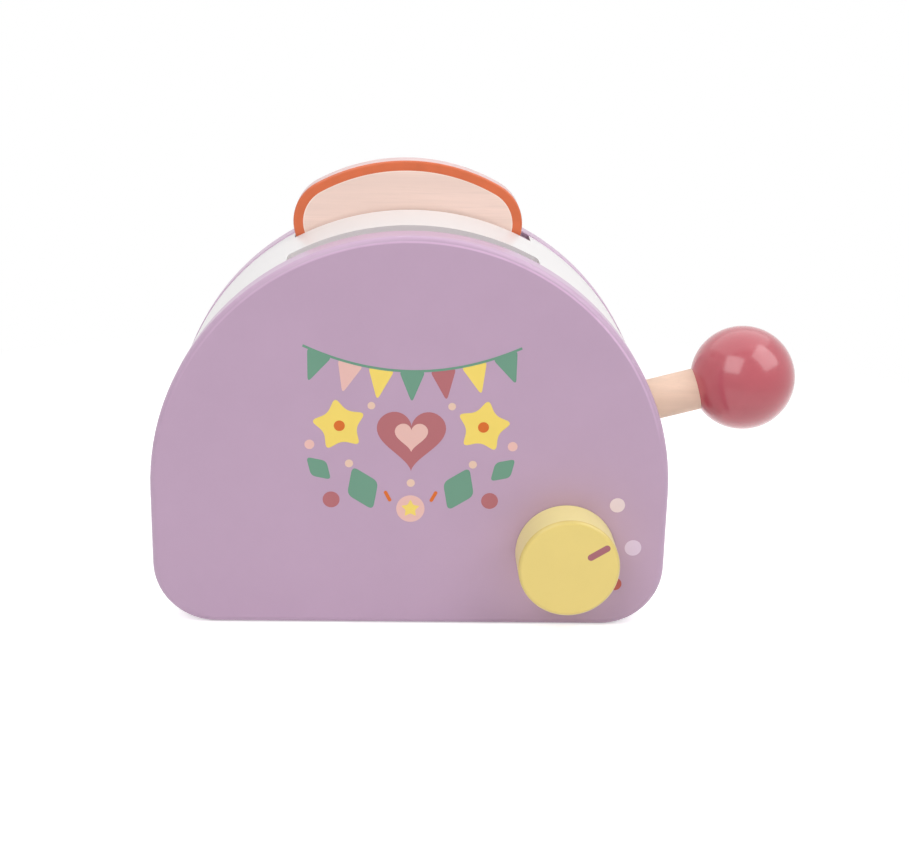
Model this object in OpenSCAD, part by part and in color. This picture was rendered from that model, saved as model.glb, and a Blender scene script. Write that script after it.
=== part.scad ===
// Wooden toy toaster with a see-saw toast ejector and a clicking dial.
// Two arched panels hold a bent-wood shell with two toast slots in its edges.
// The lever is a dowel on a pin: pressing the ball down lifts the carriage and the toast.
// Frame: X to the lever's side, Y to the back, Z up, origin at the middle of the underside.

/* [Body] */
// Width of the arched panels
body_w = 190; // [186:1:200]
// Height of the panels, from the table to the crown of the arch
body_h = 147; // [143:1:156]
// Depth over both panels
body_d = 82; // [78:1:90]
// Thickness of each panel
panel_t = 12; // [10:0.5:14]
// Radius of the panels' bottom corners
corner_r = 23; // [18:1:28]
// Round-over of the panels' outer edges
edge_round = 2.5; // [1.5:0.25:4]
// Round-over of the panels' edges next to the shell
seam_round = 0.5; // [0.3:0.1:2]

/* [Shell] */
// Thickness of the bent shell
shell_t = 4; // [3:0.25:5]
// How far the shell lies inside the panels' outline
shell_step = 0.4; // [0.2:0.1:2]
// Gap in the toast slots at each side of the toast
slot_side_gap = 4.5; // [3:0.25:6]
// Corner radius of the toast slots
slot_corner_r = 1.5; // [1:0.5:5]
// Clearance round the lever in the shell's slot
lever_slot_clear = 0.6; // [0.4:0.1:1.2]

/* [Inner frame] */
// Thickness of the two guide boards
board_t = 4; // [3:0.5:5]
// Thickness of the base board
base_t = 8; // [6:0.5:10]
// Length of each base block along X
block_x = 12; // [10:1:16]
// Height of each base block
block_h = 12; // [8:1:16]
// Width of the strips that close the ends of the toast channels
strip_w = 8; // [5:1:12]
// How far the strips reach below the resting toast
strip_drop = 20; // [10:1:30]

/* [Lever] */
// Diameter of the lever dowel
lever_d = 16; // [14:0.5:18]
// Slope of the resting lever, rising towards the ball
lever_tilt = 15; // [13:0.5:16]
// Distance of the pivot inside the shell, along the lever
pivot_in = 28.6; // [24:0.2:32]
// Length of the lever's tail past the middle of the toaster
lever_tail = 12; // [10:1:16]
// Diameter of the ball
ball_d = 40; // [34:1:44]
// How far the ball's centre stands out past the panels' edge
ball_out = 37.5; // [32:0.5:46]
// Depth of the ball's socket for the dowel
ball_socket = 12; // [8:1:18]
// Diameter of the pivot pin
pin_d = 6; // [4:0.5:8]
// Wall of the spacers on the pin
spacer_wall = 3; // [2:0.5:4]
// Length of each spacer, from the lever to a guide board
spacer_l = 4.4; // [4:0.1:5.2]

/* [Lift carriage] */
// Thickness of the carriage block
lift_t = 12; // [10:0.5:14]
// Length of the carriage block
lift_len = 62; // [60:1:68]
// Distance between the two lift dowels
lift_pitch = 50; // [40:1:52]
// Diameter of the lift dowels
lift_d = 8; // [6:0.5:9]
// Gap between the lift dowels' ends and the panels
lift_end_gap = 1; // [0.5:0.25:2]
// Diameter of the rub bar that rides on the lever
rub_d = 10; // [8:0.5:12]
// Wall of the yoke round the rub bar
yoke_wall = 3.5; // [2.5:0.5:4]
// Least gap between the resting lever and the carriage block
lift_clear = 0.9; // [0.6:0.1:2]

/* [Toast] */
// Width of the toast below its crown
toast_body_w = 82; // [74:0.5:90]
// How far the crown's lobes stand out past the sides
crown_out = 3; // [2:0.25:4]
// Height of the toast
toast_h = 85.5; // [80:0.5:95]
// Height of the crown, from its widest level to the top
crown_h = 24; // [21:0.5:28]
// Radius of the crown's side lobes
lobe_r = 17; // [13:0.5:19]
// Fillet under each lobe
neck_r = 3; // [2:0.5:5]
// Radius of the toast's bottom corners
toast_corner_r = 6; // [3:0.5:10]
// Gap between the toast and its guide board
toast_gap = 1.2; // [0.4:0.1:2]
// Gap between the toast and the panel
toast_slack = 1.4; // [1:0.1:3]
// Sideways place of the toast in its slot
toast_shift = -2; // [-2.5:0.5:2.5]

/* [Dial] */
// Distance of the dial from the panels' right-hand edge
dial_in = 37.4; // [33:0.2:41]
// Height of the dial's axis
dial_z = 29.7; // [26:0.1:34]
// Diameter of the knob
knob_d = 37; // [32:0.5:42]
// Thickness of the knob
knob_t = 16.7; // [14:0.1:20]
// Round-over of the knob's front edge
knob_round = 1.6; // [0.8:0.1:3]
// Gap between the knob and the front panel
knob_gap = 0.3; // [0.2:0.1:0.8]
// Diameter of the dial's axle
axle_d = 8; // [6:0.5:10]
// Depth of the knob's socket for the axle
knob_socket = 11; // [8:0.5:13]
// Diameter of the notched click wheel
wheel_d = 30; // [26:0.5:34]
// Gap between the click wheel and the front panel
wheel_gap = 0.6; // [0.4:0.1:1]
// Gap between the dial's screw and the front guide board
wheel_screw_gap = 2.6; // [1.5:0.1:3.5]
// Number of clicks in a turn
clicks = 12; // [8:2:16]
// Radius of each notch
notch_r = 1.9; // [1.5:0.1:2.2]

/* [Click spring] */
// Thickness of the spring leaf
leaf_t = 0.8; // [0.5:0.1:1.2]
// Width of the spring leaf
leaf_w = 5; // [4:0.5:6]
// How far the leaf lies from the wheel's front face
leaf_side = 0.5; // [0.2:0.1:1]
// Gap between the leaf and the wheel's rim
leaf_gap = 1.4; // [1.2:0.1:2]
// Length of the leaf past the dial's axis
leaf_end = 9; // [5:0.5:14]
// Size of the spring block along X
leaf_block_x = 10; // [7:0.5:14]
// Size of the spring block along Y
leaf_block_y = 8; // [7:0.5:9]
// Height of the spring block
leaf_block_h = 12; // [11:0.5:13]
// Shank diameter of the leaf's screws
leaf_screw_d = 2.4; // [2:0.2:3]

/* [Screws] */
// Shank diameter of the base screws
screw_d = 3.5; // [3:0.25:4]
// Head diameter of the base screws
screw_head_d = 7; // [6:0.5:8]
// Length of the base screws
screw_l = 16; // [13:1:18]
// Distance between two screws of one base block
screw_pitch = 13; // [10:0.5:15]
// Shank diameter of the dial's screw
dial_screw_d = 3; // [2.5:0.5:4]
// Length of the dial's screw in the axle
dial_screw_l = 9; // [6:0.5:12]
// Thickness of the dial screw's head
dial_head_t = 2.2; // [1.6:0.1:2.8]
// Diameter of the dial's washer
washer_d = 14; // [11:0.5:18]
// Thickness of the dial's washer
washer_t = 1.2; // [0.8:0.1:1.6]

/* [Fits] */
// Radial clearance of a turning shaft
run_clear = 0.05; // [0.03:0.01:0.1]
// Clearance of a sliding dowel or block, each side
slide_clear = 0.3; // [0.2:0.05:0.5]
// Gap left where a moving piece rests on another
rest_gap = 0.05; // [0.03:0.01:0.1]

/* [Hidden] */
$fn = 96;
eps = 1;

// Outline of the body
arch_r = body_w / 2;
arch_z = body_h - arch_r;
foot_x = arch_r - corner_r;
inner_y = body_d / 2 - panel_t;
shell_r = arch_r - shell_step;
shell_in_r = shell_r - shell_t;
shell_inset = shell_step + shell_t;

// Guide boards and toast channels: the lever and its spacers fit between the boards
board_in = lever_d / 2 + spacer_l;
board_out = board_in + board_t;
slot_w = inner_y - board_out;
slot_len = toast_body_w + 2 * slot_side_gap;
toast_t = slot_w - toast_gap - toast_slack;
toast_w = toast_body_w + 2 * crown_out;

// Lever: it lies on a line through the arch's centre and turns about the pivot
pivot_out = shell_in_r - pivot_in;
pivot_x = pivot_out * cos(lever_tilt);
pivot_z = arch_z + pivot_out * sin(lever_tilt);
ball_at = arch_r + ball_out;
function lever_z(x, a) = pivot_z + (x - pivot_x) * tan(a);
lever_slot_r = lever_d / 2 / cos(lever_tilt) + lever_slot_clear;

// Carriage: the rub bar rests on the lever and rises with it
rub_z = arch_z + (lever_d + rub_d) / 2 / cos(lever_tilt) + rest_gap;
lift_travel = 2 * pivot_x * tan(lever_tilt);
lift_z0 = lever_z(lift_len / 2, lever_tilt) + lever_d / 2 / cos(lever_tilt) + lift_clear;
lift_z = lift_z0 + lift_t / 2;
lift_half_y = board_in - slide_clear;
yoke_r = rub_d / 2 + yoke_wall;
yoke_in = lever_d / 2 + 2 * slide_clear;

// Toast
toast_z0 = lift_z + lift_d / 2 + rest_gap;
lobe_x = toast_w / 2 - lobe_r;
lobe_z = toast_h - crown_h;
crown_r = (lobe_x * lobe_x + crown_h * crown_h - lobe_r * lobe_r) / (2 * (crown_h - lobe_r));
crown_fan = [2 * lobe_x, toast_h - crown_r + 2 * (crown_r - crown_h)];
neck_x = toast_body_w / 2 + neck_r;
neck_z = lobe_z - sqrt(pow(lobe_r + neck_r, 2) - pow(neck_x - lobe_x, 2));
neck_a = 180 - atan2(lobe_z - neck_z, neck_x - lobe_x);
neck_arc = [for (i = [0:8]) let(a = neck_a + (180 - neck_a) * i / 8)
  [neck_x + neck_r * cos(a), neck_z + neck_r * sin(a)]];

// Channel strips
strip_x = slot_len / 2;
strip_z0 = toast_z0 - strip_drop;
strip_z1 = arch_z + sqrt(pow(shell_in_r, 2) - pow(strip_x + strip_w, 2)) - 2 * slide_clear;

// Dial
front_y = -body_d / 2;
dial_x = arch_r - dial_in;
knob_y = front_y - knob_gap;
wheel_t = slot_w - wheel_gap - washer_t - dial_head_t - wheel_screw_gap;
wheel_y = -inner_y + wheel_gap;
wheel_end = wheel_y + wheel_t;

// Click spring
bump_r = notch_r - 0.2;
leaf_x = dial_x - wheel_d / 2 - leaf_gap;
leaf_y = wheel_y + leaf_side;
leaf_screw_z = [base_t + leaf_block_h * 0.27, base_t + leaf_block_h * 0.76];

// Fasteners
block_mid = foot_x - block_x / 2;

// The panels' outline, drawn in X and Z, moved inwards by inset
module outline(inset) {
  half = arch_r - inset;
  foot_r = corner_r - inset;
  difference() {
    translate([-half, inset]) square([2 * half, arch_z + half - inset]);
    translate([0, arch_z])
      difference() {
        translate([-half - eps, 0]) square([2 * half + 2 * eps, half + eps]);
        circle(r = half);
      }
    for (m = [0, 1])
      mirror([m, 0])
        translate([foot_x, corner_r])
          difference() {
            translate([0, -foot_r - eps]) square(foot_r + eps);
            circle(r = foot_r);
          }
  }
}

// Stands a drawing in X and Z upright, from y0 towards the back
module upright(y0, t) {
  translate([0, y0 + t, 0]) rotate([90, 0, 0]) linear_extrude(height = t) children();
}

// Section of a panel from a centre out to its edge: e_out rounds the show side, e_in the seam
module edge_section(reach) {
  difference() {
    square([reach, panel_t]);
    translate([reach - edge_round, panel_t - edge_round])
      difference() {
        square(edge_round + eps);
        circle(r = edge_round);
      }
    translate([reach - seam_round, seam_round])
      mirror([0, 1])
        difference() {
          square(seam_round + eps);
          circle(r = seam_round);
        }
  }
}

// Arched plate with rounded edges, lying flat, its show side up
module arched_plate() {
  union() {
    translate([0, arch_z, 0]) rotate_extrude(angle = 180) edge_section(arch_r);
    translate([-foot_x, corner_r, 0]) cube([2 * foot_x, arch_z - corner_r, panel_t]);
    translate([foot_x, corner_r, 0])
      rotate([0, 0, -90]) rotate([90, 0, 0]) linear_extrude(height = 2 * foot_x) edge_section(corner_r);
    for (m = [0, 1])
      mirror([m, 0, 0]) {
        translate([foot_x, arch_z, 0])
          rotate([90, 0, 0]) linear_extrude(height = arch_z - corner_r) edge_section(corner_r);
        translate([foot_x, corner_r, 0])
          rotate([0, 0, -90]) rotate_extrude(angle = 90) edge_section(corner_r);
      }
  }
}

// Stadium-shaped bar along Z between two levels, for slots
module slot_cut(r, z0, z1, len) {
  translate([-r, -len / 2, z0]) cube([2 * r, len, z1 - z0]);
  for (z = [z0, z1])
    translate([0, 0, z]) rotate([90, 0, 0]) cylinder(r = r, h = len, center = true);
}

// Cross-head recess, cut from the face z = 0 upwards
module cross_recess(d, depth) {
  for (a = [0, 90])
    rotate([0, 0, a]) translate([-d / 2, -d / 10, -eps]) cube([d, d / 5, depth + eps]);
}

module front_panel() {
  color([0.75, 0.64, 0.73])
    difference() {
      translate([0, -inner_y, 0]) rotate([90, 0, 0]) arched_plate();
      translate([dial_x, -inner_y + eps, dial_z])
        rotate([90, 0, 0]) cylinder(d = axle_d + 2 * run_clear, h = panel_t + 2 * eps);
    }
}

module back_panel() {
  color([0.75, 0.64, 0.73])
    mirror([0, 1, 0]) translate([0, -inner_y, 0]) rotate([90, 0, 0]) arched_plate();
}

// Bent strip with a notch in each edge for the toast and a slot for the lever
module outer_shell() {
  color([0.93, 0.91, 0.92])
    difference() {
      upright(-inner_y, 2 * inner_y)
        difference() {
          outline(shell_step);
          outline(shell_inset);
          translate([-foot_x, -eps]) square([2 * foot_x, arch_z]);
        }
      for (m = [0, 1])
        mirror([0, m, 0]) toast_slot();
      translate([shell_r, 0, 0])
        rotate([0, 0, 90])
          slot_cut(lever_slot_r, lever_z(shell_r, -lever_tilt), lever_z(shell_r, lever_tilt), 2 * corner_r);
    }
}

// One toast slot, open towards the panel, with round corners at the divider
module toast_slot() {
  translate([0, 0, arch_z + arch_r / 2])
    linear_extrude(height = arch_r)
      union() {
        translate([-slot_len / 2, board_out + slot_corner_r])
          square([slot_len, slot_w - slot_corner_r + eps]);
        translate([-slot_len / 2 + slot_corner_r, board_out])
          square([slot_len - 2 * slot_corner_r, slot_w + eps]);
        for (s = [-1, 1])
          translate([s * (slot_len / 2 - slot_corner_r), board_out + slot_corner_r])
            circle(r = slot_corner_r);
      }
}

// Board that fills the arch beside a toast channel and guides the lift dowels
module guide_board() {
  difference() {
    upright(board_in, board_t)
      difference() {
        outline(shell_inset);
        translate([-arch_r, -eps]) square([2 * arch_r, base_t + eps]);
      }
    for (s = [-1, 1])
      translate([s * lift_pitch / 2, board_in + board_t / 2, 0])
        slot_cut(lift_d / 2 + slide_clear, lift_z + slide_clear - rest_gap,
          lift_z + lift_travel + slide_clear, board_t + 2 * eps);
    translate([pivot_x, board_out + eps, pivot_z])
      rotate([90, 0, 0]) cylinder(d = pin_d, h = board_t + 2 * eps);
  }
}

module front_guide_board() {
  color([0.86, 0.76, 0.62]) mirror([0, 1, 0]) guide_board();
}

module rear_guide_board() {
  color([0.86, 0.76, 0.62]) guide_board();
}

module base_board() {
  color([0.86, 0.76, 0.62])
    difference() {
      translate([-foot_x, -inner_y, 0]) cube([2 * foot_x, 2 * inner_y, base_t]);
      at_base_screws() {
        translate([0, 0, -eps]) cylinder(d = screw_d, h = base_t + 2 * eps);
        cylinder(d1 = screw_head_d, d2 = screw_d, h = (screw_head_d - screw_d) / 2);
      }
    }
}

// Places a fastener at each of the four base screws, pointing up
module at_base_screws() {
  for (sx = [-1, 1])
    for (sy = [-1, 1])
      translate([sx * block_mid, sy * screw_pitch / 2, 0]) children();
}

// Block between the guide boards that takes the base screws
module base_block() {
  difference() {
    translate([block_mid - block_x / 2, -board_in, base_t]) cube([block_x, 2 * board_in, block_h]);
    for (s = [-1, 1])
      translate([block_mid, s * screw_pitch / 2, 0]) cylinder(d = screw_d, h = screw_l);
  }
}

module left_base_block() {
  color([0.82, 0.70, 0.54]) mirror([1, 0, 0]) base_block();
}

module right_base_block() {
  color([0.82, 0.70, 0.54]) base_block();
}

// Four strips that stop the toast from sliding sideways
module channel_end_strips() {
  color([0.82, 0.70, 0.54])
    for (mx = [0, 1])
      for (my = [0, 1])
        mirror([mx, 0, 0]) mirror([0, my, 0])
          translate([strip_x, board_out, strip_z0]) cube([strip_w, slot_w, strip_z1 - strip_z0]);
}

// Countersunk screws, with their heads flush with the underside
module base_screws() {
  color([0.72, 0.72, 0.74])
    at_base_screws()
      difference() {
        union() {
          cylinder(d = screw_d, h = screw_l);
          cylinder(d1 = screw_head_d, d2 = screw_d, h = (screw_head_d - screw_d) / 2);
        }
        cross_recess(screw_head_d * 0.6, 1);
      }
}

// Fixed pin from guide board to guide board, on which the lever turns
module lever_pin() {
  color([0.76, 0.76, 0.78])
    translate([pivot_x, board_out, pivot_z]) rotate([90, 0, 0]) cylinder(d = pin_d, h = 2 * board_out);
}

// Tubes on the pin that keep the lever in the middle
module lever_spacers() {
  tube_l = spacer_l - rest_gap;
  color([0.90, 0.88, 0.82])
    for (m = [0, 1])
      mirror([0, m, 0]) translate([pivot_x, board_in, pivot_z]) rotate([90, 0, 0])
        difference() {
          cylinder(d = pin_d + 2 * spacer_wall, h = tube_l);
          translate([0, 0, -eps]) cylinder(d = pin_d, h = tube_l + 2 * eps);
        }
}

module spring_block() {
  color([0.82, 0.70, 0.54])
    difference() {
      translate([leaf_x - leaf_t - leaf_block_x, -inner_y, base_t])
        cube([leaf_block_x, leaf_block_y, leaf_block_h]);
      at_leaf_screws() cylinder(d = leaf_screw_d, h = leaf_block_x * 0.8);
    }
}

// Places a fastener at each leaf screw, pointing from the leaf's face into the block
module at_leaf_screws() {
  for (z = leaf_screw_z)
    translate([leaf_x, leaf_y + leaf_w / 2, z]) rotate([0, -90, 0]) children();
}

// Springy leaf with a round bump that drops into the wheel's notches
module click_spring() {
  color([0.70, 0.71, 0.74])
    difference() {
      union() {
        translate([leaf_x - leaf_t, leaf_y, base_t])
          cube([leaf_t, leaf_w, dial_z + leaf_end - base_t]);
        intersection() {
          translate([dial_x - wheel_d / 2, leaf_y + leaf_w, dial_z])
            rotate([90, 0, 0]) cylinder(r = bump_r, h = leaf_w);
          translate([leaf_x - leaf_t / 2, leaf_y - eps, dial_z - 2 * notch_r])
            cube([4 * notch_r, leaf_w + 2 * eps, 4 * notch_r]);
        }
      }
      at_leaf_screws() translate([0, 0, -eps]) cylinder(d = leaf_screw_d, h = leaf_t + 2 * eps);
    }
}

module spring_screws() {
  color([0.72, 0.72, 0.74])
    at_leaf_screws()
      union() {
        cylinder(d = leaf_screw_d, h = leaf_block_x * 0.8);
        translate([0, 0, -1.4]) cylinder(d = 1.8 * leaf_screw_d, h = 1.4);
      }
}

// Places a piece of the lever, whose own Z runs from the arch's centre towards the ball
module on_lever() {
  translate([0, 0, arch_z]) rotate([0, 90 - lever_tilt, 0]) children();
}

module lever_dowel() {
  color([0.94, 0.82, 0.72])
    on_lever()
      difference() {
        translate([0, 0, -lever_tail])
          cylinder(d = lever_d, h = lever_tail + ball_at - ball_d / 2 + ball_socket);
        translate([0, lever_d, pivot_out])
          rotate([90, 0, 0]) cylinder(d = pin_d + 2 * run_clear, h = 2 * lever_d);
      }
}

module lever_ball() {
  color([0.75, 0.38, 0.42])
    on_lever()
      difference() {
        translate([0, 0, ball_at]) sphere(d = ball_d);
        translate([0, 0, ball_at - ball_d / 2 - eps]) cylinder(d = lever_d, h = ball_socket + eps);
      }
}

// Block that slides between the guide boards, with a yoke below that straddles the lever
module lift_block() {
  color([0.88, 0.77, 0.62])
    difference() {
      union() {
        translate([-lift_len / 2, -lift_half_y, lift_z0]) cube([lift_len, 2 * lift_half_y, lift_t]);
        for (m = [0, 1])
          mirror([0, m, 0]) yoke_cheek();
      }
      translate([0, board_in, rub_z]) rotate([90, 0, 0]) cylinder(d = rub_d, h = 2 * board_in);
      for (s = [-1, 1])
        translate([s * lift_pitch / 2, board_in, lift_z])
          rotate([90, 0, 0]) cylinder(d = lift_d, h = 2 * board_in);
    }
}

module yoke_cheek() {
  translate([0, lift_half_y, rub_z]) rotate([90, 0, 0]) cylinder(r = yoke_r, h = lift_half_y - yoke_in);
  translate([-yoke_r, yoke_in, rub_z]) cube([2 * yoke_r, lift_half_y - yoke_in, lift_z - rub_z]);
}

// Bar across the yoke that rides on the lever, heavy enough to bring the carriage down
module rub_bar() {
  color([0.76, 0.76, 0.78])
    translate([0, lift_half_y, rub_z]) rotate([90, 0, 0]) cylinder(d = rub_d, h = 2 * lift_half_y);
}

// Two dowels that pass through the guide boards and carry the toast in both channels
module lift_dowels() {
  reach = inner_y - lift_end_gap;
  color([0.94, 0.82, 0.72])
    for (s = [-1, 1])
      translate([s * lift_pitch / 2, reach, lift_z]) rotate([90, 0, 0]) cylinder(d = lift_d, h = 2 * reach);
}

// Slice of toast: a flat crown between two round lobes, necked in above a plain body
module toast_outline() {
  half = toast_body_w / 2;
  union() {
    intersection() {
      translate([0, toast_h - crown_r]) circle(r = crown_r);
      polygon([[-lobe_x, lobe_z], [lobe_x, lobe_z], crown_fan, [-crown_fan[0], crown_fan[1]]]);
    }
    translate([-half, toast_corner_r]) square([2 * half, lobe_z - toast_corner_r]);
    translate([-half + toast_corner_r, 0]) square([2 * (half - toast_corner_r), lobe_z]);
    for (m = [0, 1])
      mirror([m, 0]) {
        translate([lobe_x, lobe_z]) circle(r = lobe_r);
        translate([half - toast_corner_r, toast_corner_r]) circle(r = toast_corner_r);
      }
  }
}

// Concave fillet between a lobe and the side below it
module neck_fillet() {
  polygon(concat([[lobe_x, lobe_z]], neck_arc, [[toast_body_w / 2 - eps, neck_z]]));
}

module toast() {
  color([0.88, 0.48, 0.32])
    translate([toast_shift, board_out + toast_gap, toast_z0])
      union() {
        upright(0, toast_t) toast_outline();
        for (m = [0, 1])
          mirror([m, 0, 0]) upright(0, toast_t) neck_fillet();
      }
}

// Places a piece of the dial, whose own Z runs from the front of the panel towards the viewer
module on_dial(y) {
  translate([dial_x, y, dial_z]) rotate([90, 0, 0]) children();
}

module dial_knob() {
  color([0.90, 0.81, 0.50])
    on_dial(knob_y)
      difference() {
        rotate_extrude()
          difference() {
            square([knob_d / 2, knob_t]);
            translate([knob_d / 2 - knob_round, knob_t - knob_round])
              difference() {
                square(knob_round + eps);
                circle(r = knob_round);
              }
          }
        translate([0, 0, -eps]) cylinder(d = axle_d, h = knob_socket + eps);
      }
}

module dial_axle() {
  axle_l = wheel_end - knob_y + knob_socket;
  color([0.94, 0.82, 0.72])
    on_dial(wheel_end)
      difference() {
        cylinder(d = axle_d, h = axle_l);
        translate([0, 0, -eps]) cylinder(d = dial_screw_d, h = dial_screw_l + eps);
      }
}

// Wheel behind the panel, with a notch in its rim for each click
module click_wheel() {
  color([0.88, 0.77, 0.62])
    on_dial(wheel_end)
      difference() {
        cylinder(d = wheel_d, h = wheel_t);
        translate([0, 0, -eps]) cylinder(d = axle_d, h = wheel_t + 2 * eps);
        for (i = [0:clicks - 1])
          rotate([0, 0, i * 360 / clicks])
            translate([wheel_d / 2, 0, -eps]) cylinder(r = notch_r, h = wheel_t + 2 * eps);
      }
}

module wheel_washer() {
  color([0.76, 0.76, 0.78])
    on_dial(wheel_end + washer_t)
      difference() {
        cylinder(d = washer_d, h = washer_t);
        translate([0, 0, -eps]) cylinder(d = dial_screw_d, h = washer_t + 2 * eps);
      }
}

module wheel_screw() {
  color([0.72, 0.72, 0.74])
    on_dial(wheel_end + washer_t + dial_head_t)
      difference() {
        union() {
          cylinder(d = 2.2 * dial_screw_d, h = dial_head_t);
          cylinder(d = dial_screw_d, h = dial_head_t + washer_t + dial_screw_l);
        }
        cross_recess(1.3 * dial_screw_d, 1);
      }
}

front_panel();
back_panel();
outer_shell();
front_guide_board();
rear_guide_board();
base_board();
left_base_block();
right_base_block();
channel_end_strips();
base_screws();
lever_pin();
lever_spacers();
spring_block();
click_spring();
spring_screws();
lever_dowel();
lever_ball();
lift_block();
rub_bar();
lift_dowels();
toast();
dial_knob();
dial_axle();
click_wheel();
wheel_washer();
wheel_screw();
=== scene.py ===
"""Wooden toy toaster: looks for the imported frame.

Lengths are in mm in the tables and materials, and in metres on every Blender object.
"""
import math

import bmesh
import bpy
from mathutils import Matrix, Vector

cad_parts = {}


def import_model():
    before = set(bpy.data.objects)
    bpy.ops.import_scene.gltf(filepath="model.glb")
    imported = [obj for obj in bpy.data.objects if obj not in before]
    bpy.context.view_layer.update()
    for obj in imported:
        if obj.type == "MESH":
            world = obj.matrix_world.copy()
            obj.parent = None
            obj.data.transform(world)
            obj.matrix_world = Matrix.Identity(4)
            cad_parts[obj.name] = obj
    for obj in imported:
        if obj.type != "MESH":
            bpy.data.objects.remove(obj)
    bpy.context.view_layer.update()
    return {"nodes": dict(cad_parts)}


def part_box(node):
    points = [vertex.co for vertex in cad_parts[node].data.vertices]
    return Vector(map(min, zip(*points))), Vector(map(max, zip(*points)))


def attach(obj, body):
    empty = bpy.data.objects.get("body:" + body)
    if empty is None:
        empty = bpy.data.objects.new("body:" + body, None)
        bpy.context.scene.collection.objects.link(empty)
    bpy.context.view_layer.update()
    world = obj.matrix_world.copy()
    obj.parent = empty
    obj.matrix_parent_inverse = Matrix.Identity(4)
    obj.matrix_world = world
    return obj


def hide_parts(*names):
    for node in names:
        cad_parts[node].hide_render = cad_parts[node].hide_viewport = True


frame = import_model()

MM = 0.001
NODES = frame["nodes"]

# Sizes that the looks share with the solids, in mm
ARCH_R = 95.0             # outline of the two panels
ARCH_Z = 52.0             # height of the arch's centre
FRONT_Y = -41.0           # face of the front panel
KNOB_FACE_Y = -58.0       # face of the dial's knob
DIAL_X, DIAL_Z = 57.6, 29.7
GUIDE_Y = 12.4            # inner face of the rear guide board
TOAST = dict(x=-2.0, z=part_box("toast")[0][2] / MM, h=85.5, body=41.0, out=3.0,
             lobe_r=17.0, crown_h=24.0, neck_r=3.0, foot_r=6.0)


# ---------------------------------------------------------------- colours
def srgb(r, g, b):
    """Linear RGBA of a display colour given as 0 to 255."""
    def lin(c):
        c /= 255.0
        return c / 12.92 if c <= 0.04045 else ((c + 0.055) / 1.055) ** 2.4
    return (lin(r), lin(g), lin(b), 1.0)


def shade(c, k):
    """A colour made lighter or darker by a factor."""
    return tuple(min(1.0, v * k) for v in c[:3]) + (1.0,)


MAUVE = srgb(188, 158, 184)
WHITE = srgb(238, 235, 235)
ROSE = srgb(183, 81, 92)
YELLOW = srgb(233, 209, 121)
# Painted sheen: a paler yellow for the knob's side.
YELLOW_SIDE_SHEEN = srgb(243, 231, 156)
POINTER = srgb(163, 92, 104)
CRUST = srgb(216, 108, 64)
CRUMB = srgb(241, 214, 202)
TOAST_EDGE = srgb(227, 200, 199)
CRUST_LINE = srgb(248, 228, 216)
PLY = srgb(222, 196, 160)
BEECH = srgb(226, 196, 164)
DOWEL = srgb(237, 205, 183)
NYLON = srgb(232, 228, 214)
INKS = {
    "ink_yellow": srgb(243, 215, 104), "ink_rose": srgb(177, 103, 108),
    "ink_peach": srgb(232, 187, 178), "ink_green": srgb(104, 151, 128),
    "ink_orange": srgb(215, 104, 20), "ink_sand": srgb(231, 198, 176),
    "ink_blush": srgb(232, 212, 215), "ink_lilac": srgb(219, 198, 221),
    "ink_brick": srgb(182, 86, 76),
}


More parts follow.
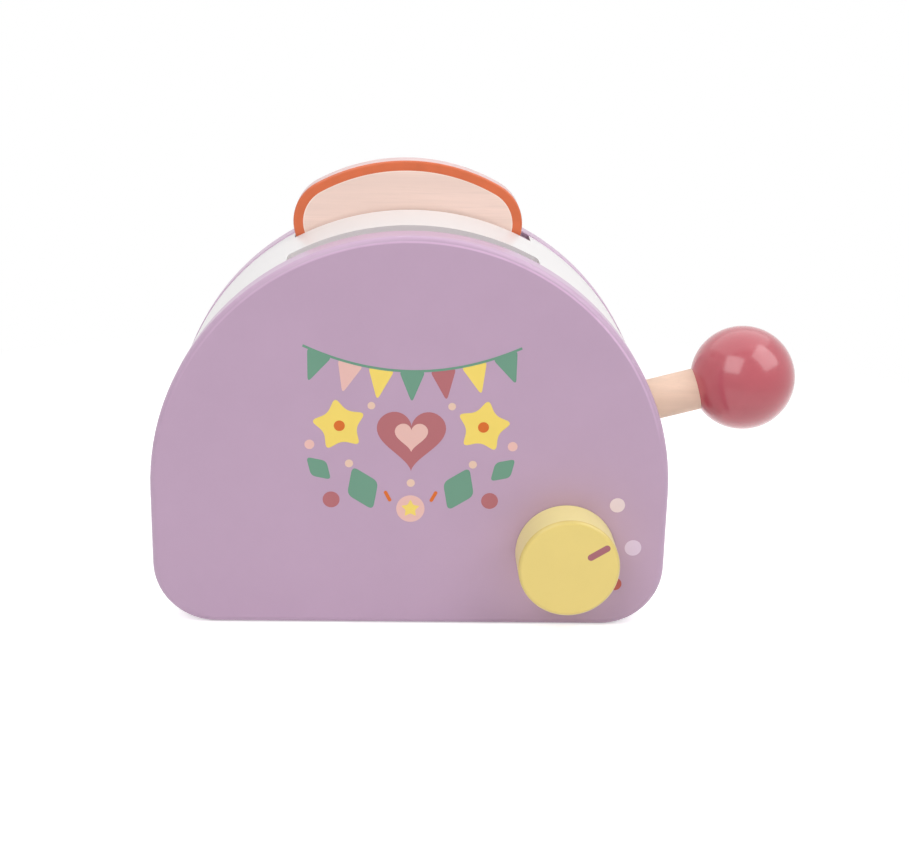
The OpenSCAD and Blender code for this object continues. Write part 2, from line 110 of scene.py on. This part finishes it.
# ---------------------------------------------------------------- node helpers
class Mat:
    """A node material under construction, with coordinates in mm in the toaster's own frame."""

    def __init__(self, name, rough=0.5, spec=0.5, coat=0.0, coat_rough=0.1, metal=0.0):
        self.m = bpy.data.materials.new(name)
        self.m.use_nodes = True
        self.t = self.m.node_tree
        self.b = next(n for n in self.t.nodes if n.type == "BSDF_PRINCIPLED")
        for socket, value in (("Roughness", rough), ("Specular IOR Level", spec),
                              ("Coat Weight", coat), ("Coat Roughness", coat_rough),
                              ("Metallic", metal)):
            self.b.inputs[socket].default_value = value
        metres = self.node("ShaderNodeTexCoord")
        mapping = self.node("ShaderNodeMapping")
        mapping.inputs["Scale"].default_value = (1 / MM, 1 / MM, 1 / MM)
        self.link(metres.outputs["Object"], mapping.inputs["Vector"])
        self.mm = mapping.outputs["Vector"]

    def node(self, kind, **settings):
        n = self.t.nodes.new(kind)
        for k, v in settings.items():
            setattr(n, k, v)
        return n

    def link(self, a, b):
        self.t.links.new(a, b)

    def coords(self, scale):
        """The coordinates stretched by a factor for each axis."""
        mapping = self.node("ShaderNodeMapping")
        mapping.inputs["Scale"].default_value = scale
        self.link(self.mm, mapping.inputs["Vector"])
        return mapping.outputs["Vector"]

    def noise(self, scale, detail=3.0, rough=0.5, vec=None, distort=0.0):
        n = self.node("ShaderNodeTexNoise")
        for socket, value in (("Scale", scale), ("Detail", detail), ("Roughness", rough),
                              ("Distortion", distort)):
            n.inputs[socket].default_value = value
        self.link(vec or self.mm, n.inputs["Vector"])
        return n.outputs["Fac"]

    def math(self, op, a, b=None):
        n = self.node("ShaderNodeMath", operation=op)
        for i, v in enumerate((a, b)):
            if isinstance(v, (int, float)):
                n.inputs[i].default_value = v
            elif v is not None:
                self.link(v, n.inputs[i])
        return n.outputs[0]

    def span(self, fac, lo, hi, a=0.0, b=1.0):
        """Maps lo..hi to a..b, held at both ends."""
        n = self.node("ShaderNodeMapRange")
        for socket, value in (("From Min", lo), ("From Max", hi), ("To Min", a), ("To Max", b)):
            n.inputs[socket].default_value = value
        self.link(fac, n.inputs["Value"])
        return n.outputs["Result"]

    def mix(self, fac, a, b):
        n = self.node("ShaderNodeMix", data_type="RGBA")
        factor, first, second = n.inputs[0], n.inputs[6], n.inputs[7]
        for socket, v in ((factor, fac), (first, a), (second, b)):
            if isinstance(v, tuple):
                socket.default_value = v
            else:
                self.link(v, socket)
        return n.outputs[2]

    def xyz(self, vec=None):
        n = self.node("ShaderNodeSeparateXYZ")
        self.link(vec or self.mm, n.inputs[0])
        return n.outputs

    def length(self, a, b):
        return self.math("SQRT", self.math("ADD", self.math("MULTIPLY", a, a),
                                           self.math("MULTIPLY", b, b)))

    def color(self, socket):
        self.link(socket, self.b.inputs["Base Color"])

    def rough(self, socket):
        self.link(socket, self.b.inputs["Roughness"])

    def bump(self, height, strength, dist_mm):
        n = self.node("ShaderNodeBump")
        n.inputs["Strength"].default_value = strength
        n.inputs["Distance"].default_value = dist_mm * MM
        self.link(height, n.inputs["Height"])
        self.link(n.outputs["Normal"], self.b.inputs["Normal"])


# ---------------------------------------------------------------- materials
def paint(name, c, rough, orange_peel, tint=0.02, **gloss):
    """Sprayed paint on sanded wood: faint cloudiness, fine orange peel, a trace of the grain."""
    m = Mat(name, rough=rough, **gloss)
    cloud = m.noise(0.035, 4.0, 0.55)
    fine = m.noise(1.6, 2.0, 0.6)
    v = m.mix(m.span(cloud, 0.3, 0.7), shade(c, 1 - tint), shade(c, 1 + tint))
    v = m.mix(m.span(fine, 0.35, 0.75, 0.0, 0.25), v, shade(c, 1 + 1.5 * tint))
    m.color(v)
    m.rough(m.span(m.noise(0.03, 1.0, 0.4), 0.3, 0.7, rough - 0.015, rough + 0.02))
    grain = m.noise(1.0, 3.0, 0.6, vec=m.coords((0.10, 0.9, 0.9)))
    m.bump(m.math("ADD", fine, m.math("MULTIPLY", grain, 0.6)), orange_peel, 0.06)
    return m


def timber(name, c, ring=0.9, rough=0.6, contrast=0.10):
    """Bare close-grained wood whose grain runs along X."""
    m = Mat(name, rough=rough)
    along = (0.035, 1.0, 1.0)
    vec = m.coords(along)
    bands = m.noise(0.22 * ring, 2.0, 0.5, vec=vec, distort=0.6)
    fibre = m.noise(1.7 * ring, 4.0, 0.65, vec=vec)
    flecks = m.noise(0.9, 1.0, 0.4, vec=m.coords(tuple(s * 2.4 for s in along)))
    v = m.mix(m.span(bands, 0.34, 0.66), shade(c, 1 - contrast), shade(c, 1 + contrast * 0.6))
    v = m.mix(m.span(fibre, 0.42, 0.62, 0.0, 0.55), v, shade(c, 1 - 0.9 * contrast))
    v = m.mix(m.span(flecks, 0.66, 0.74, 0.0, 0.35), v, shade(c, 1 - 2.2 * contrast))
    m.color(v)
    m.rough(m.span(fibre, 0.3, 0.7, rough - 0.07, rough + 0.08))
    m.bump(fibre, 0.22, 0.08)
    return m


def plywood(name, c, axis, ply, zero=0.0):
    """Ply sheet: long grain on its faces, and dark and light plies along axis where it is cut."""
    m = Mat(name, rough=0.62)
    face = m.noise(1.1, 4.0, 0.6, vec=m.coords((0.05, 1, 1)))
    broad = m.noise(0.16, 2.0, 0.5, vec=m.coords((0.12, 1, 1)), distort=0.8)
    v = m.mix(m.span(broad, 0.3, 0.7), shade(c, 0.93), shade(c, 1.06))
    v = m.mix(m.span(face, 0.4, 0.66, 0.0, 0.5), v, shade(c, 0.86))
    across = "XYZ".index(axis)
    depth = m.math("SUBTRACT", m.xyz()[across], zero)
    layer = m.math("FLOOR", m.math("DIVIDE", depth, ply))
    odd = m.math("MODULO", m.math("ABSOLUTE", layer), 2.0)
    normal = m.xyz(m.node("ShaderNodeNewGeometry").outputs["True Normal"])[across]
    cut = m.span(m.math("ABSOLUTE", normal), 0.5, 0.4)
    end_grain = m.noise(2.6, 2.0, 0.7)
    dark = m.mix(m.span(end_grain, 0.35, 0.7), shade(c, 0.62), shade(c, 0.78))
    m.color(m.mix(m.math("MULTIPLY", m.math("MULTIPLY", cut, odd), 0.75), v, dark))
    step = m.math("MULTIPLY", odd, m.math("MULTIPLY", cut, 0.5))
    m.bump(m.math("ADD", face, step), 0.2, 0.08)
    return m


def steel(name, grey, rough, along=(0.05, 1, 1)):
    """Brushed or drawn steel with fine lines along one axis."""
    m = Mat(name, rough=rough, metal=1.0)
    c = tuple(grey) + (1.0,)
    lines = m.noise(3.0, 3.0, 0.6, vec=m.coords(along))
    m.color(m.mix(m.span(lines, 0.3, 0.7), shade(c, 0.9), shade(c, 1.06)))
    m.rough(m.span(lines, 0.3, 0.7, rough - 0.06, rough + 0.1))
    m.bump(lines, 0.1, 0.03)
    return m


def panel_material():
    """Mauve paint with painted light: the arch's edge paler at the top, and a fine painted
    highlight on it.
    """
    m = paint("panel_paint", MAUVE, rough=0.32, orange_peel=0.05)
    base = m.b.inputs["Base Color"].links[0].from_socket
    x, _, z = m.xyz()
    up = m.math("SUBTRACT", z, ARCH_Z)
    inset = m.math("SUBTRACT", ARCH_R, m.length(x, up))
    # Painted highlight: a fine pale line on the round-over of the arch's front edge, weaker to the
    # left and lower down.
    line = m.math("MULTIPLY", m.span(inset, 2.4, 2.15), m.span(inset, 1.45, 1.75))
    line = m.math("MULTIPLY", line, m.span(x, -80.0, 30.0, 0.25, 1.0))
    line = m.math("MULTIPLY", line, m.span(up, 20.0, 60.0))
    line = m.math("MULTIPLY", line, m.span(m.noise(0.25, 2.0, 0.5), 0.25, 0.5, 0.75, 1.0))
    # Painted top light: the arch's outer edge turns paler the higher it goes.
    top_lit_rim = m.math("MULTIPLY", m.span(inset, 1.3, 0.3), m.span(up, 10.0, 70.0))
    v = m.mix(top_lit_rim, base, shade(MAUVE, 1.16))
    m.color(m.mix(line, v, shade(MAUVE, 1.36)))
    return m


def knob_material():
    """Yellow paint with the printed pointer, a short radial stroke on the knob's face; the side is
    paler as painted sheen and the round-over darker as painted shade.
    """
    angle, start, end, half_width = math.radians(32.0), 9.0, 15.6, 1.25
    m = Mat("knob_paint", rough=0.36, coat=0.2, coat_rough=0.30)
    cloud = m.noise(0.06, 3.0, 0.5)
    fine = m.noise(1.7, 2.0, 0.6)
    v = m.mix(m.span(cloud, 0.3, 0.7), shade(YELLOW, 0.985), shade(YELLOW, 1.015))
    x, y, z = m.xyz()
    ux, uz = math.cos(angle), math.sin(angle)
    dx, dz = m.math("SUBTRACT", x, DIAL_X), m.math("SUBTRACT", z, DIAL_Z)
    along = m.math("ADD", m.math("MULTIPLY", dx, ux), m.math("MULTIPLY", dz, uz))
    side = m.math("SUBTRACT", m.math("MULTIPLY", dz, ux), m.math("MULTIPLY", dx, uz))
    held = m.math("MINIMUM", m.math("MAXIMUM", along, start), end)
    dist = m.length(m.math("SUBTRACT", along, held), side)
    on_face = m.span(y, KNOB_FACE_Y + 0.3, KNOB_FACE_Y + 0.2)
    mark = m.math("MULTIPLY", m.span(dist, half_width + 0.05, half_width - 0.05), on_face)
    # Painted sheen: the knob's side turns paler than its face.
    v = m.mix(m.span(y, KNOB_FACE_Y + 0.8, KNOB_FACE_Y + 1.6), v, YELLOW_SIDE_SHEEN)
    # Painted shade: the round-over between the knob's face and side made darker.
    arris_shade = m.math("MULTIPLY", m.span(y, KNOB_FACE_Y + 0.02, KNOB_FACE_Y + 0.3),
                   m.span(y, KNOB_FACE_Y + 1.7, KNOB_FACE_Y + 1.1))
    v = m.mix(arris_shade, v, shade(YELLOW, 0.88))
    m.color(m.mix(mark, v, POINTER))
    m.rough(m.span(fine, 0.3, 0.7, 0.30, 0.40))
    turned = m.noise(1.0, 3.0, 0.6, vec=m.coords((0.9, 0.1, 0.9)))
    m.bump(m.math("ADD", fine, m.math("MULTIPLY", turned, 0.5)), 0.15, 0.06)
    return m


def crumb_material(name, c):
    """Pale stained wood of the slice, with its grain along X."""
    m = Mat(name, rough=0.62)
    vec = m.coords((0.04, 1, 1))
    bands = m.noise(0.35, 2.0, 0.5, vec=vec, distort=0.8)
    fibre = m.noise(1.5, 4.0, 0.6, vec=vec)
    v = m.mix(m.span(bands, 0.35, 0.65), shade(c, 0.965), shade(c, 1.03))
    m.color(m.mix(m.span(fibre, 0.5, 0.68, 0.0, 0.4), v, shade(c, 0.9)))
    m.rough(m.span(fibre, 0.3, 0.7, 0.55, 0.68))
    m.bump(fibre, 0.15, 0.06)
    return m


def crust_material(name, c):
    """Painted band round the slice."""
    m = Mat(name, rough=0.36)
    cloud = m.noise(0.12, 3.0, 0.6)
    fine = m.noise(1.8, 2.0, 0.6)
    m.color(m.mix(m.span(cloud, 0.3, 0.7), shade(c, 0.95), shade(c, 1.05)))
    m.rough(m.span(fine, 0.3, 0.7, 0.30, 0.42))
    m.bump(fine, 0.15, 0.06)
    return m


panel_paint = panel_material()
shell_paint = paint("shell_paint", WHITE, rough=0.34, orange_peel=0.10, tint=0.010, spec=0.42)
ball_paint = paint("ball_paint", ROSE, rough=0.32, orange_peel=0.06, tint=0.025, spec=0.25,
                   coat=0.9, coat_rough=0.15)
beech_dowel = timber("beech_dowel", DOWEL, ring=1.0, rough=0.5, contrast=0.07)
raw_beech = timber("raw_beech", BEECH, rough=0.62)
guide_ply = plywood("guide_ply", PLY, axis="Y", ply=0.8, zero=GUIDE_Y)
base_ply = plywood("base_ply", PLY, axis="Z", ply=1.14)
zinc = steel("zinc_steel", (0.72, 0.72, 0.75), 0.3)
bright = steel("bright_steel", (0.78, 0.78, 0.80), 0.22, along=(1, 0.05, 1))
spring = steel("spring_steel", (0.66, 0.67, 0.70), 0.25, along=(1, 1, 0.05))
nylon = paint("nylon", NYLON, rough=0.5, orange_peel=0.1)
knob_paint = knob_material()

DRESS = {
    panel_paint: ("front_panel", "back_panel"),
    shell_paint: ("outer_shell",),
    guide_ply: ("front_guide_board", "rear_guide_board", "click_wheel"),
    base_ply: ("base_board",),
    raw_beech: ("left_base_block", "right_base_block", "spring_block", "channel_end_strips",
                "lift_block"),
    zinc: ("base_screws", "spring_screws", "wheel_washer", "wheel_screw"),
    bright: ("lever_pin", "rub_bar"),
    nylon: ("lever_spacers",),
    spring: ("click_spring",),
    beech_dowel: ("lever_dowel", "lift_dowels", "dial_axle"),
    ball_paint: ("lever_ball",),
    knob_paint: ("dial_knob",),
}
for material, nodes in DRESS.items():
    for node in nodes:
        NODES[node].data.materials.clear()
        NODES[node].data.materials.append(material.m)


# ---------------------------------------------------------------- toast
def arc(cx, cz, r, a0, a1, n):
    """Points on an arc from a0 to a1 degrees, in n steps."""
    angles = [math.radians(a0 + (a1 - a0) * i / n) for i in range(n + 1)]
    return [(cx + r * math.cos(a), cz + r * math.sin(a)) for a in angles]


def toast_ring(inset):
    """Outline of the slice, moved inwards, with the same number of points for every inset."""
    t = TOAST
    lobe_x, lobe_z = t["body"] + t["out"] - t["lobe_r"], t["h"] - t["crown_h"]
    crown, lobe_r, foot = t["crown_h"], t["lobe_r"], t["foot_r"]
    crown_r = (lobe_x ** 2 + crown ** 2 - lobe_r ** 2) / (2 * (crown - lobe_r))
    neck_x = t["body"] + t["neck_r"]
    neck_z = lobe_z - math.sqrt((lobe_r + t["neck_r"]) ** 2 - (neck_x - lobe_x) ** 2)
    neck_deg = 180 - math.degrees(math.atan2(lobe_z - neck_z, neck_x - lobe_x))
    crown_deg = math.degrees(math.atan2(crown_r - crown, lobe_x))
    half = arc(0, t["h"] - crown_r, crown_r - inset, 90, crown_deg, 22)
    half += arc(lobe_x, lobe_z, lobe_r - inset, crown_deg, neck_deg - 180, 26)[1:]
    half += arc(neck_x, neck_z, t["neck_r"] + inset, neck_deg, 180, 6)[1:]
    half += [(t["body"] - inset, foot + (neck_z - foot) * k / 6) for k in (5, 4, 3, 2, 1)]
    half += arc(t["body"] - foot, foot, foot - inset, 0, -90, 8)
    half += [((t["body"] - foot) * (1 - k / 5), inset) for k in (1, 2, 3, 4)]
    full = half + [(0, inset)] + [(-x, z) for x, z in reversed(half[1:])]
    return [(x + t["x"], z + t["z"]) for x, z in full]


def make_toast():
    """Slice with rounded edges, a painted crust band and a pale line inside it."""
    edge_r, band, line = 0.9, 3.8, 0.35
    lo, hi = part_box("toast")
    y0, y1 = lo[1] / MM, hi[1] / MM
    thick = y1 - y0
    profile = [(band + line, 0.0), (band, 0.0), (edge_r, 0.0)]
    for k in range(1, 6):
        a = math.radians(90 * k / 5)
        profile.append((edge_r - edge_r * math.sin(a), edge_r - edge_r * math.cos(a)))
    profile += [(0.0, thick * 0.5)] + [(i, thick - y) for i, y in reversed(profile)]

    verts, faces, kinds = [], [], []
    face_kind, crust_kind, edge_kind, line_kind = range(4)
    for i, y in profile:
        ring = toast_ring(i)
        verts += [(x * MM, (y0 + y) * MM, z * MM) for x, z in ring]
    n, last = len(ring), len(profile) - 1
    for k in range(last):
        mid = (profile[k][1] + profile[k + 1][1]) / 2
        crusty = min(mid, thick - mid) < edge_r * 0.62
        kind = line_kind if k in (0, last - 1) else crust_kind if crusty else edge_kind
        for j in range(n):
            a, b = k * n + j, k * n + (j + 1) % n
            faces.append((a, b, b + n, a + n))
            kinds.append(kind)
    faces += [tuple(range(n)), tuple(last * n + j for j in reversed(range(n)))]
    kinds += [face_kind, face_kind]

    mesh = bpy.data.meshes.new("toast_slice")
    mesh.from_pydata(verts, [], faces)
    for m in (crumb_material("toast_face", CRUMB), crust_material("toast_crust", CRUST),
              crumb_material("toast_edge", TOAST_EDGE), crumb_material("toast_line", CRUST_LINE)):
        mesh.materials.append(m.m)
    for polygon, kind in zip(mesh.polygons, kinds):
        polygon.material_index = kind
    bm = bmesh.new()
    bm.from_mesh(mesh)
    bmesh.ops.recalc_face_normals(bm, faces=bm.faces)
    for f in bm.faces:
        f.smooth = True
    for e in bm.edges:
        e.smooth = len(e.link_faces) == 2 and e.calc_face_angle(0.0) < math.radians(35)
    bm.to_mesh(mesh)
    bm.free()
    ob = bpy.data.objects.new("toast_slice", mesh)
    bpy.context.scene.collection.objects.link(ob)
    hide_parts("toast")
    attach(ob, "toast")


make_toast()


# ---------------------------------------------------------------- printed shapes
INK_T, LAYER_T, SINK = 0.03, 0.02, 0.02     # ink over the face, each further layer, ink in the face
INK = {name: paint(name, c, rough=0.44, orange_peel=0.14, tint=0.015)
       for name, c in INKS.items()}


def rounded(pts, r, n=6):
    """Closed outline with its corners rounded by r."""
    out = []
    for i, pt in enumerate(pts):
        p, before, after = Vector(pt), Vector(pts[i - 1]), Vector(pts[(i + 1) % len(pts)])
        da, db = before - p, after - p
        ra = p + da.normalized() * min(r, da.length * 0.48)
        rb = p + db.normalized() * min(r, db.length * 0.48)
        for j in range(n + 1):
            t = j / n
            out.append(tuple(ra * (1 - t) ** 2 + p * 2 * t * (1 - t) + rb * t * t))
    return out


def place(pts, x, z, deg=0.0):
    """An outline turned by deg and moved to x, z."""
    c, s = math.cos(math.radians(deg)), math.sin(math.radians(deg))
    return [(x + px * c - pz * s, z + px * s + pz * c) for px, pz in pts]


def star(r1, r2, soft):
    points = []
    for i in range(5):
        for r, start in ((r1, 90), (r2, 126)):
            a = math.radians(start + 72 * i)
            points.append((r * math.cos(a), r * math.sin(a)))
    return rounded(points, soft)


def heart(w):
    out = []
    for i in range(72):
        t = 2 * math.pi * i / 72
        x = 16 * math.sin(t) ** 3
        z = 13 * math.cos(t) - 5 * math.cos(2 * t) - 2 * math.cos(3 * t) - math.cos(4 * t)
        out.append((x * w / 32, z * w / 32))
    return out


def pennant(w, h, soft):
    return rounded([(-w / 2, h / 2), (w / 2, h / 2), (0, -h / 2)], soft)


def diamond(w, h, soft):
    return rounded([(w / 2, 0), (0, h / 2), (-w / 2, 0), (0, -h / 2)], soft)


def disc(r, n=40):
    return arc(0, 0, r, 0, 360 - 360 / n, n - 1)


def stroke(length, w):
    h = length / 2 - w / 2
    return arc(h, 0, w / 2, -90, 90, 8) + arc(-h, 0, w / 2, 90, 270, 8)


def string(pts, w):
    """A thin line along a run of points."""
    left, right = [], []
    for i, p in enumerate(pts):
        before, after = Vector(pts[max(i - 1, 0)]), Vector(pts[min(i + 1, len(pts) - 1)])
        d = (after - before).normalized()
        n = Vector((-d.y, d.x)) * w / 2
        left.append((p[0] + n.x, p[1] + n.y))
        right.append((p[0] - n.x, p[1] - n.y))
    return left + right[::-1]


def printed(name, shapes):
    """Closed thin ink shapes on the front panel's face; each shape is (ink, outline, layer)."""
    inks = sorted({s[0] for s in shapes})
    bm = bmesh.new()
    for ink, pts, layer in shapes:
        front, back = [[bm.verts.new((px * MM, y * MM, pz * MM)) for px, pz in pts]
                       for y in (FRONT_Y - INK_T - LAYER_T * layer, FRONT_Y + SINK)]
        sides = [(front[i - 1], front[i], back[i], back[i - 1]) for i in range(len(pts))]
        for ring in [front, back[::-1]] + sides:
            bm.faces.new(ring).material_index = inks.index(ink)
    bmesh.ops.recalc_face_normals(bm, faces=bm.faces)
    many_sided = [f for f in bm.faces if len(f.verts) > 4]
    bmesh.ops.triangulate(bm, faces=many_sided, ngon_method="EAR_CLIP")
    mesh = bpy.data.meshes.new(name)
    bm.to_mesh(mesh)
    bm.free()
    for ink in inks:
        mesh.materials.append(INK[ink].m)
    ob = bpy.data.objects.new(name, mesh)
    bpy.context.scene.collection.objects.link(ob)
    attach(ob, "housing")


def nursery_print():
    """Bunting over a heart between two stars, with diamonds and dots below."""
    shapes = []

    def add(ink, pts, x, z, deg=0.0, layer=0):
        shapes.append(("ink_" + ink, place(pts, x, z, deg), layer))

    reach, drop, low = 39, 9.0, 98.5

    def sag(x):
        return low + drop * (x / reach) ** 2

    add("green", string([(x, sag(x)) for x in range(-reach, reach + 1, 3)], 0.9), 0, 0, layer=1)
    flags = ("green", "peach", "yellow", "green", "rose", "yellow", "green")
    for i, ink in enumerate(flags):
        x = 11 * (i - 3)
        tilt = math.degrees(math.atan(2 * drop * x / reach ** 2))
        add(ink, place(pennant(9.6, 12.0, 2.0), 0, -5.8), x, sag(x), tilt)
    add("rose", heart(25), 0, 74.0)
    add("peach", heart(12), 0, 74.4, layer=1)
    for side in (-1, 1):
        add("yellow", star(10.6, 6.0, 2.4), side * 26, 78.0, side * -9)
        add("orange", disc(2.0, 24), side * 26, 77.8, layer=1)
        add("green", diamond(12.5, 18.5, 2.4), side * 17.5, 54.0, side * -24)
        add("green", diamond(8.0, 12.5, 1.8), side * 33.5, 61.5, side * -46)
        add("rose", disc(3.1, 28), side * 29.0, 49.5)
        add("peach", disc(1.8, 20), side * 36.8, 70.6)
        add("sand", disc(1.4, 20), side * 14.5, 85.5)
        add("sand", disc(1.5, 20), side * 22.5, 63.5)
        add("orange", stroke(4.6, 1.3), side * 8.4, 51.0, side * 62)
    add("peach", disc(5.2, 36), 0, 46.2)
    add("yellow", star(3.6, 1.8, 0.6), 0, 46.2, layer=1)
    add("sand", disc(1.5, 20), 0, 56.2)
    return shapes


SETTING_DOTS = (("ink_blush", 2.8, 76.2, 48.3), ("ink_lilac", 3.1, 82.9, 31.5),
                ("ink_brick", 2.5, 76.9, 16.9))
printed("panel_print", nursery_print())
printed("setting_dots", [(ink, place(disc(r), x, z), 0) for ink, r, x, z in SETTING_DOTS])


# ---------------------------------------------------------------- floor, lights, camera
FLOOR_HALF, FLOOR_Z = 3.0, -0.0002
FLOOR_LIFT = 0.52                     # light given off by the floor as the camera sees it
FADE_FROM, FADE_TO = 190.0, 420.0     # where the floor turns into the white surround, in mm
AMBIENT = 0.27


def any_of(tree, sockets):
    """One socket that is 1 where any of the given ones is."""
    shown = sockets[0]
    for other in sockets[1:]:
        either = tree.nodes.new("ShaderNodeMath")
        either.operation = "MAXIMUM"
        tree.links.new(shown, either.inputs[0])
        tree.links.new(other, either.inputs[1])
        shown = either.outputs[0]
    return shown


def background_rays(tree):
    """1 for the rays that show the background: seen directly, mirrored or refracted."""
    path = tree.nodes.new("ShaderNodeLightPath")
    rays = ("Is Camera Ray", "Is Glossy Ray", "Is Transmission Ray")
    return any_of(tree, [path.outputs[ray] for ray in rays])


def blend(tree, factor, a, b):
    n = tree.nodes.new("ShaderNodeMixShader")
    for socket, source in zip(n.inputs, (factor, a, b)):
        tree.links.new(source, socket)
    return n.outputs[0]


def floor():
    """Pale floor that keeps the object's shadow close by and fades into a white surround."""
    s = FLOOR_HALF
    mesh = bpy.data.meshes.new("floor")
    mesh.from_pydata([(x, y, FLOOR_Z) for x, y in ((-s, -s), (s, -s), (s, s), (-s, s))],
                     [], [(0, 1, 2, 3)])
    ob = bpy.data.objects.new("floor", mesh)
    bpy.context.scene.collection.objects.link(ob)
    m = Mat("floor_paper", rough=0.9, spec=0.1)
    m.color(m.mix(m.noise(0.004, 2.0, 0.5), (0.86, 0.86, 0.86, 1), (0.90, 0.90, 0.90, 1)))
    x, y, _ = m.xyz()
    lift, white = m.node("ShaderNodeEmission"), m.node("ShaderNodeEmission")
    lift.inputs["Strength"].default_value = FLOOR_LIFT
    paper = m.b.outputs[0]
    lit = m.node("ShaderNodeAddShader")
    m.link(paper, lit.inputs[0])
    m.link(lift.outputs[0], lit.inputs[1])
    far = m.span(m.length(x, y), FADE_FROM, FADE_TO)
    faded = blend(m.t, far, lit.outputs[0], white.outputs[0])
    out = next(n for n in m.t.nodes if n.type == "OUTPUT_MATERIAL")
    m.link(blend(m.t, background_rays(m.t), paper, faded), out.inputs["Surface"])
    mesh.materials.append(m.m)


def world():
    """White where it is seen, and a plain ambient light on the object."""
    w = bpy.context.scene.world or bpy.data.worlds.new("World")
    bpy.context.scene.world = w
    w.use_nodes = True
    tree = w.node_tree
    tree.nodes.clear()
    out = tree.nodes.new("ShaderNodeOutputWorld")
    sides = []
    for strength in (AMBIENT, 1.0):
        n = tree.nodes.new("ShaderNodeBackground")
        n.inputs["Color"].default_value = (1, 1, 1, 1)
        n.inputs["Strength"].default_value = strength
        sides.append(n.outputs[0])
    tree.links.new(blend(tree, background_rays(tree), *sides), out.inputs["Surface"])


def softbox(name, direction, dist, size, power, mirrored=True, matte=True):
    """Rectangular lamp that faces the toaster's middle, and may leave out gloss or matte light."""
    lamp = bpy.data.lights.new(name, "AREA")
    lamp.shape = "RECTANGLE"
    lamp.size, lamp.size_y = size
    lamp.energy = power
    ob = bpy.data.objects.new(name, lamp)
    bpy.context.scene.collection.objects.link(ob)
    target = Vector((0.0, 0.0, 0.075))
    ob.location = target + Vector(direction).normalized() * dist
    ob.rotation_euler = (target - ob.location).to_track_quat("-Z", "Y").to_euler()
    ob.visible_glossy = mirrored
    ob.visible_diffuse = matte


def camera():
    """The photograph's camera: its axes, place (mm) and focal length (px of a 909 px picture)."""
    right = Vector((0.99931167, -0.02989106, 0.02197058))
    down = Vector((0.01185189, -0.30396007, -0.95261105))
    forward = Vector((0.03515273, 0.95221573, -0.30339658))
    place_mm = Vector((-4.153, -573.743, 247.571))
    focal_px, width_px, sensor = 1549.658, 909.0, 36.0
    cam = bpy.data.cameras.new("camera")
    cam.sensor_fit = "HORIZONTAL"
    cam.sensor_width = sensor
    cam.lens = sensor * focal_px / width_px
    cam.clip_start, cam.clip_end = 0.01, 20
    ob = bpy.data.objects.new("camera", cam)
    bpy.context.scene.collection.objects.link(ob)
    columns = (right, -down, -forward, place_mm * MM)
    ob.matrix_world = Matrix([[c[i] for c in columns] for i in range(3)] + [[0, 0, 0, 1]])
    bpy.context.scene.camera = ob


floor()
world()
softbox("key_left", (-0.41, -0.60, 0.67), 1.3, (0.90, 0.90), 8.2)
softbox("key_right", (0.66, -0.28, 0.70), 1.3, (0.95, 1.00), 9.0)
softbox("overhead", (0.0, 0.42, 1.0), 1.6, (2.8, 1.8), 4.6)
softbox("overhead_sheen", (0.0, 0.36, 1.0), 1.61, (2.8, 2.2), 11.6, matte=False)
softbox("rear_fill", (-0.30, 0.95, 0.42), 1.5, (1.4, 1.1), 4.4, mirrored=False)
camera()
bpy.context.scene.view_settings.view_transform = "Standard"
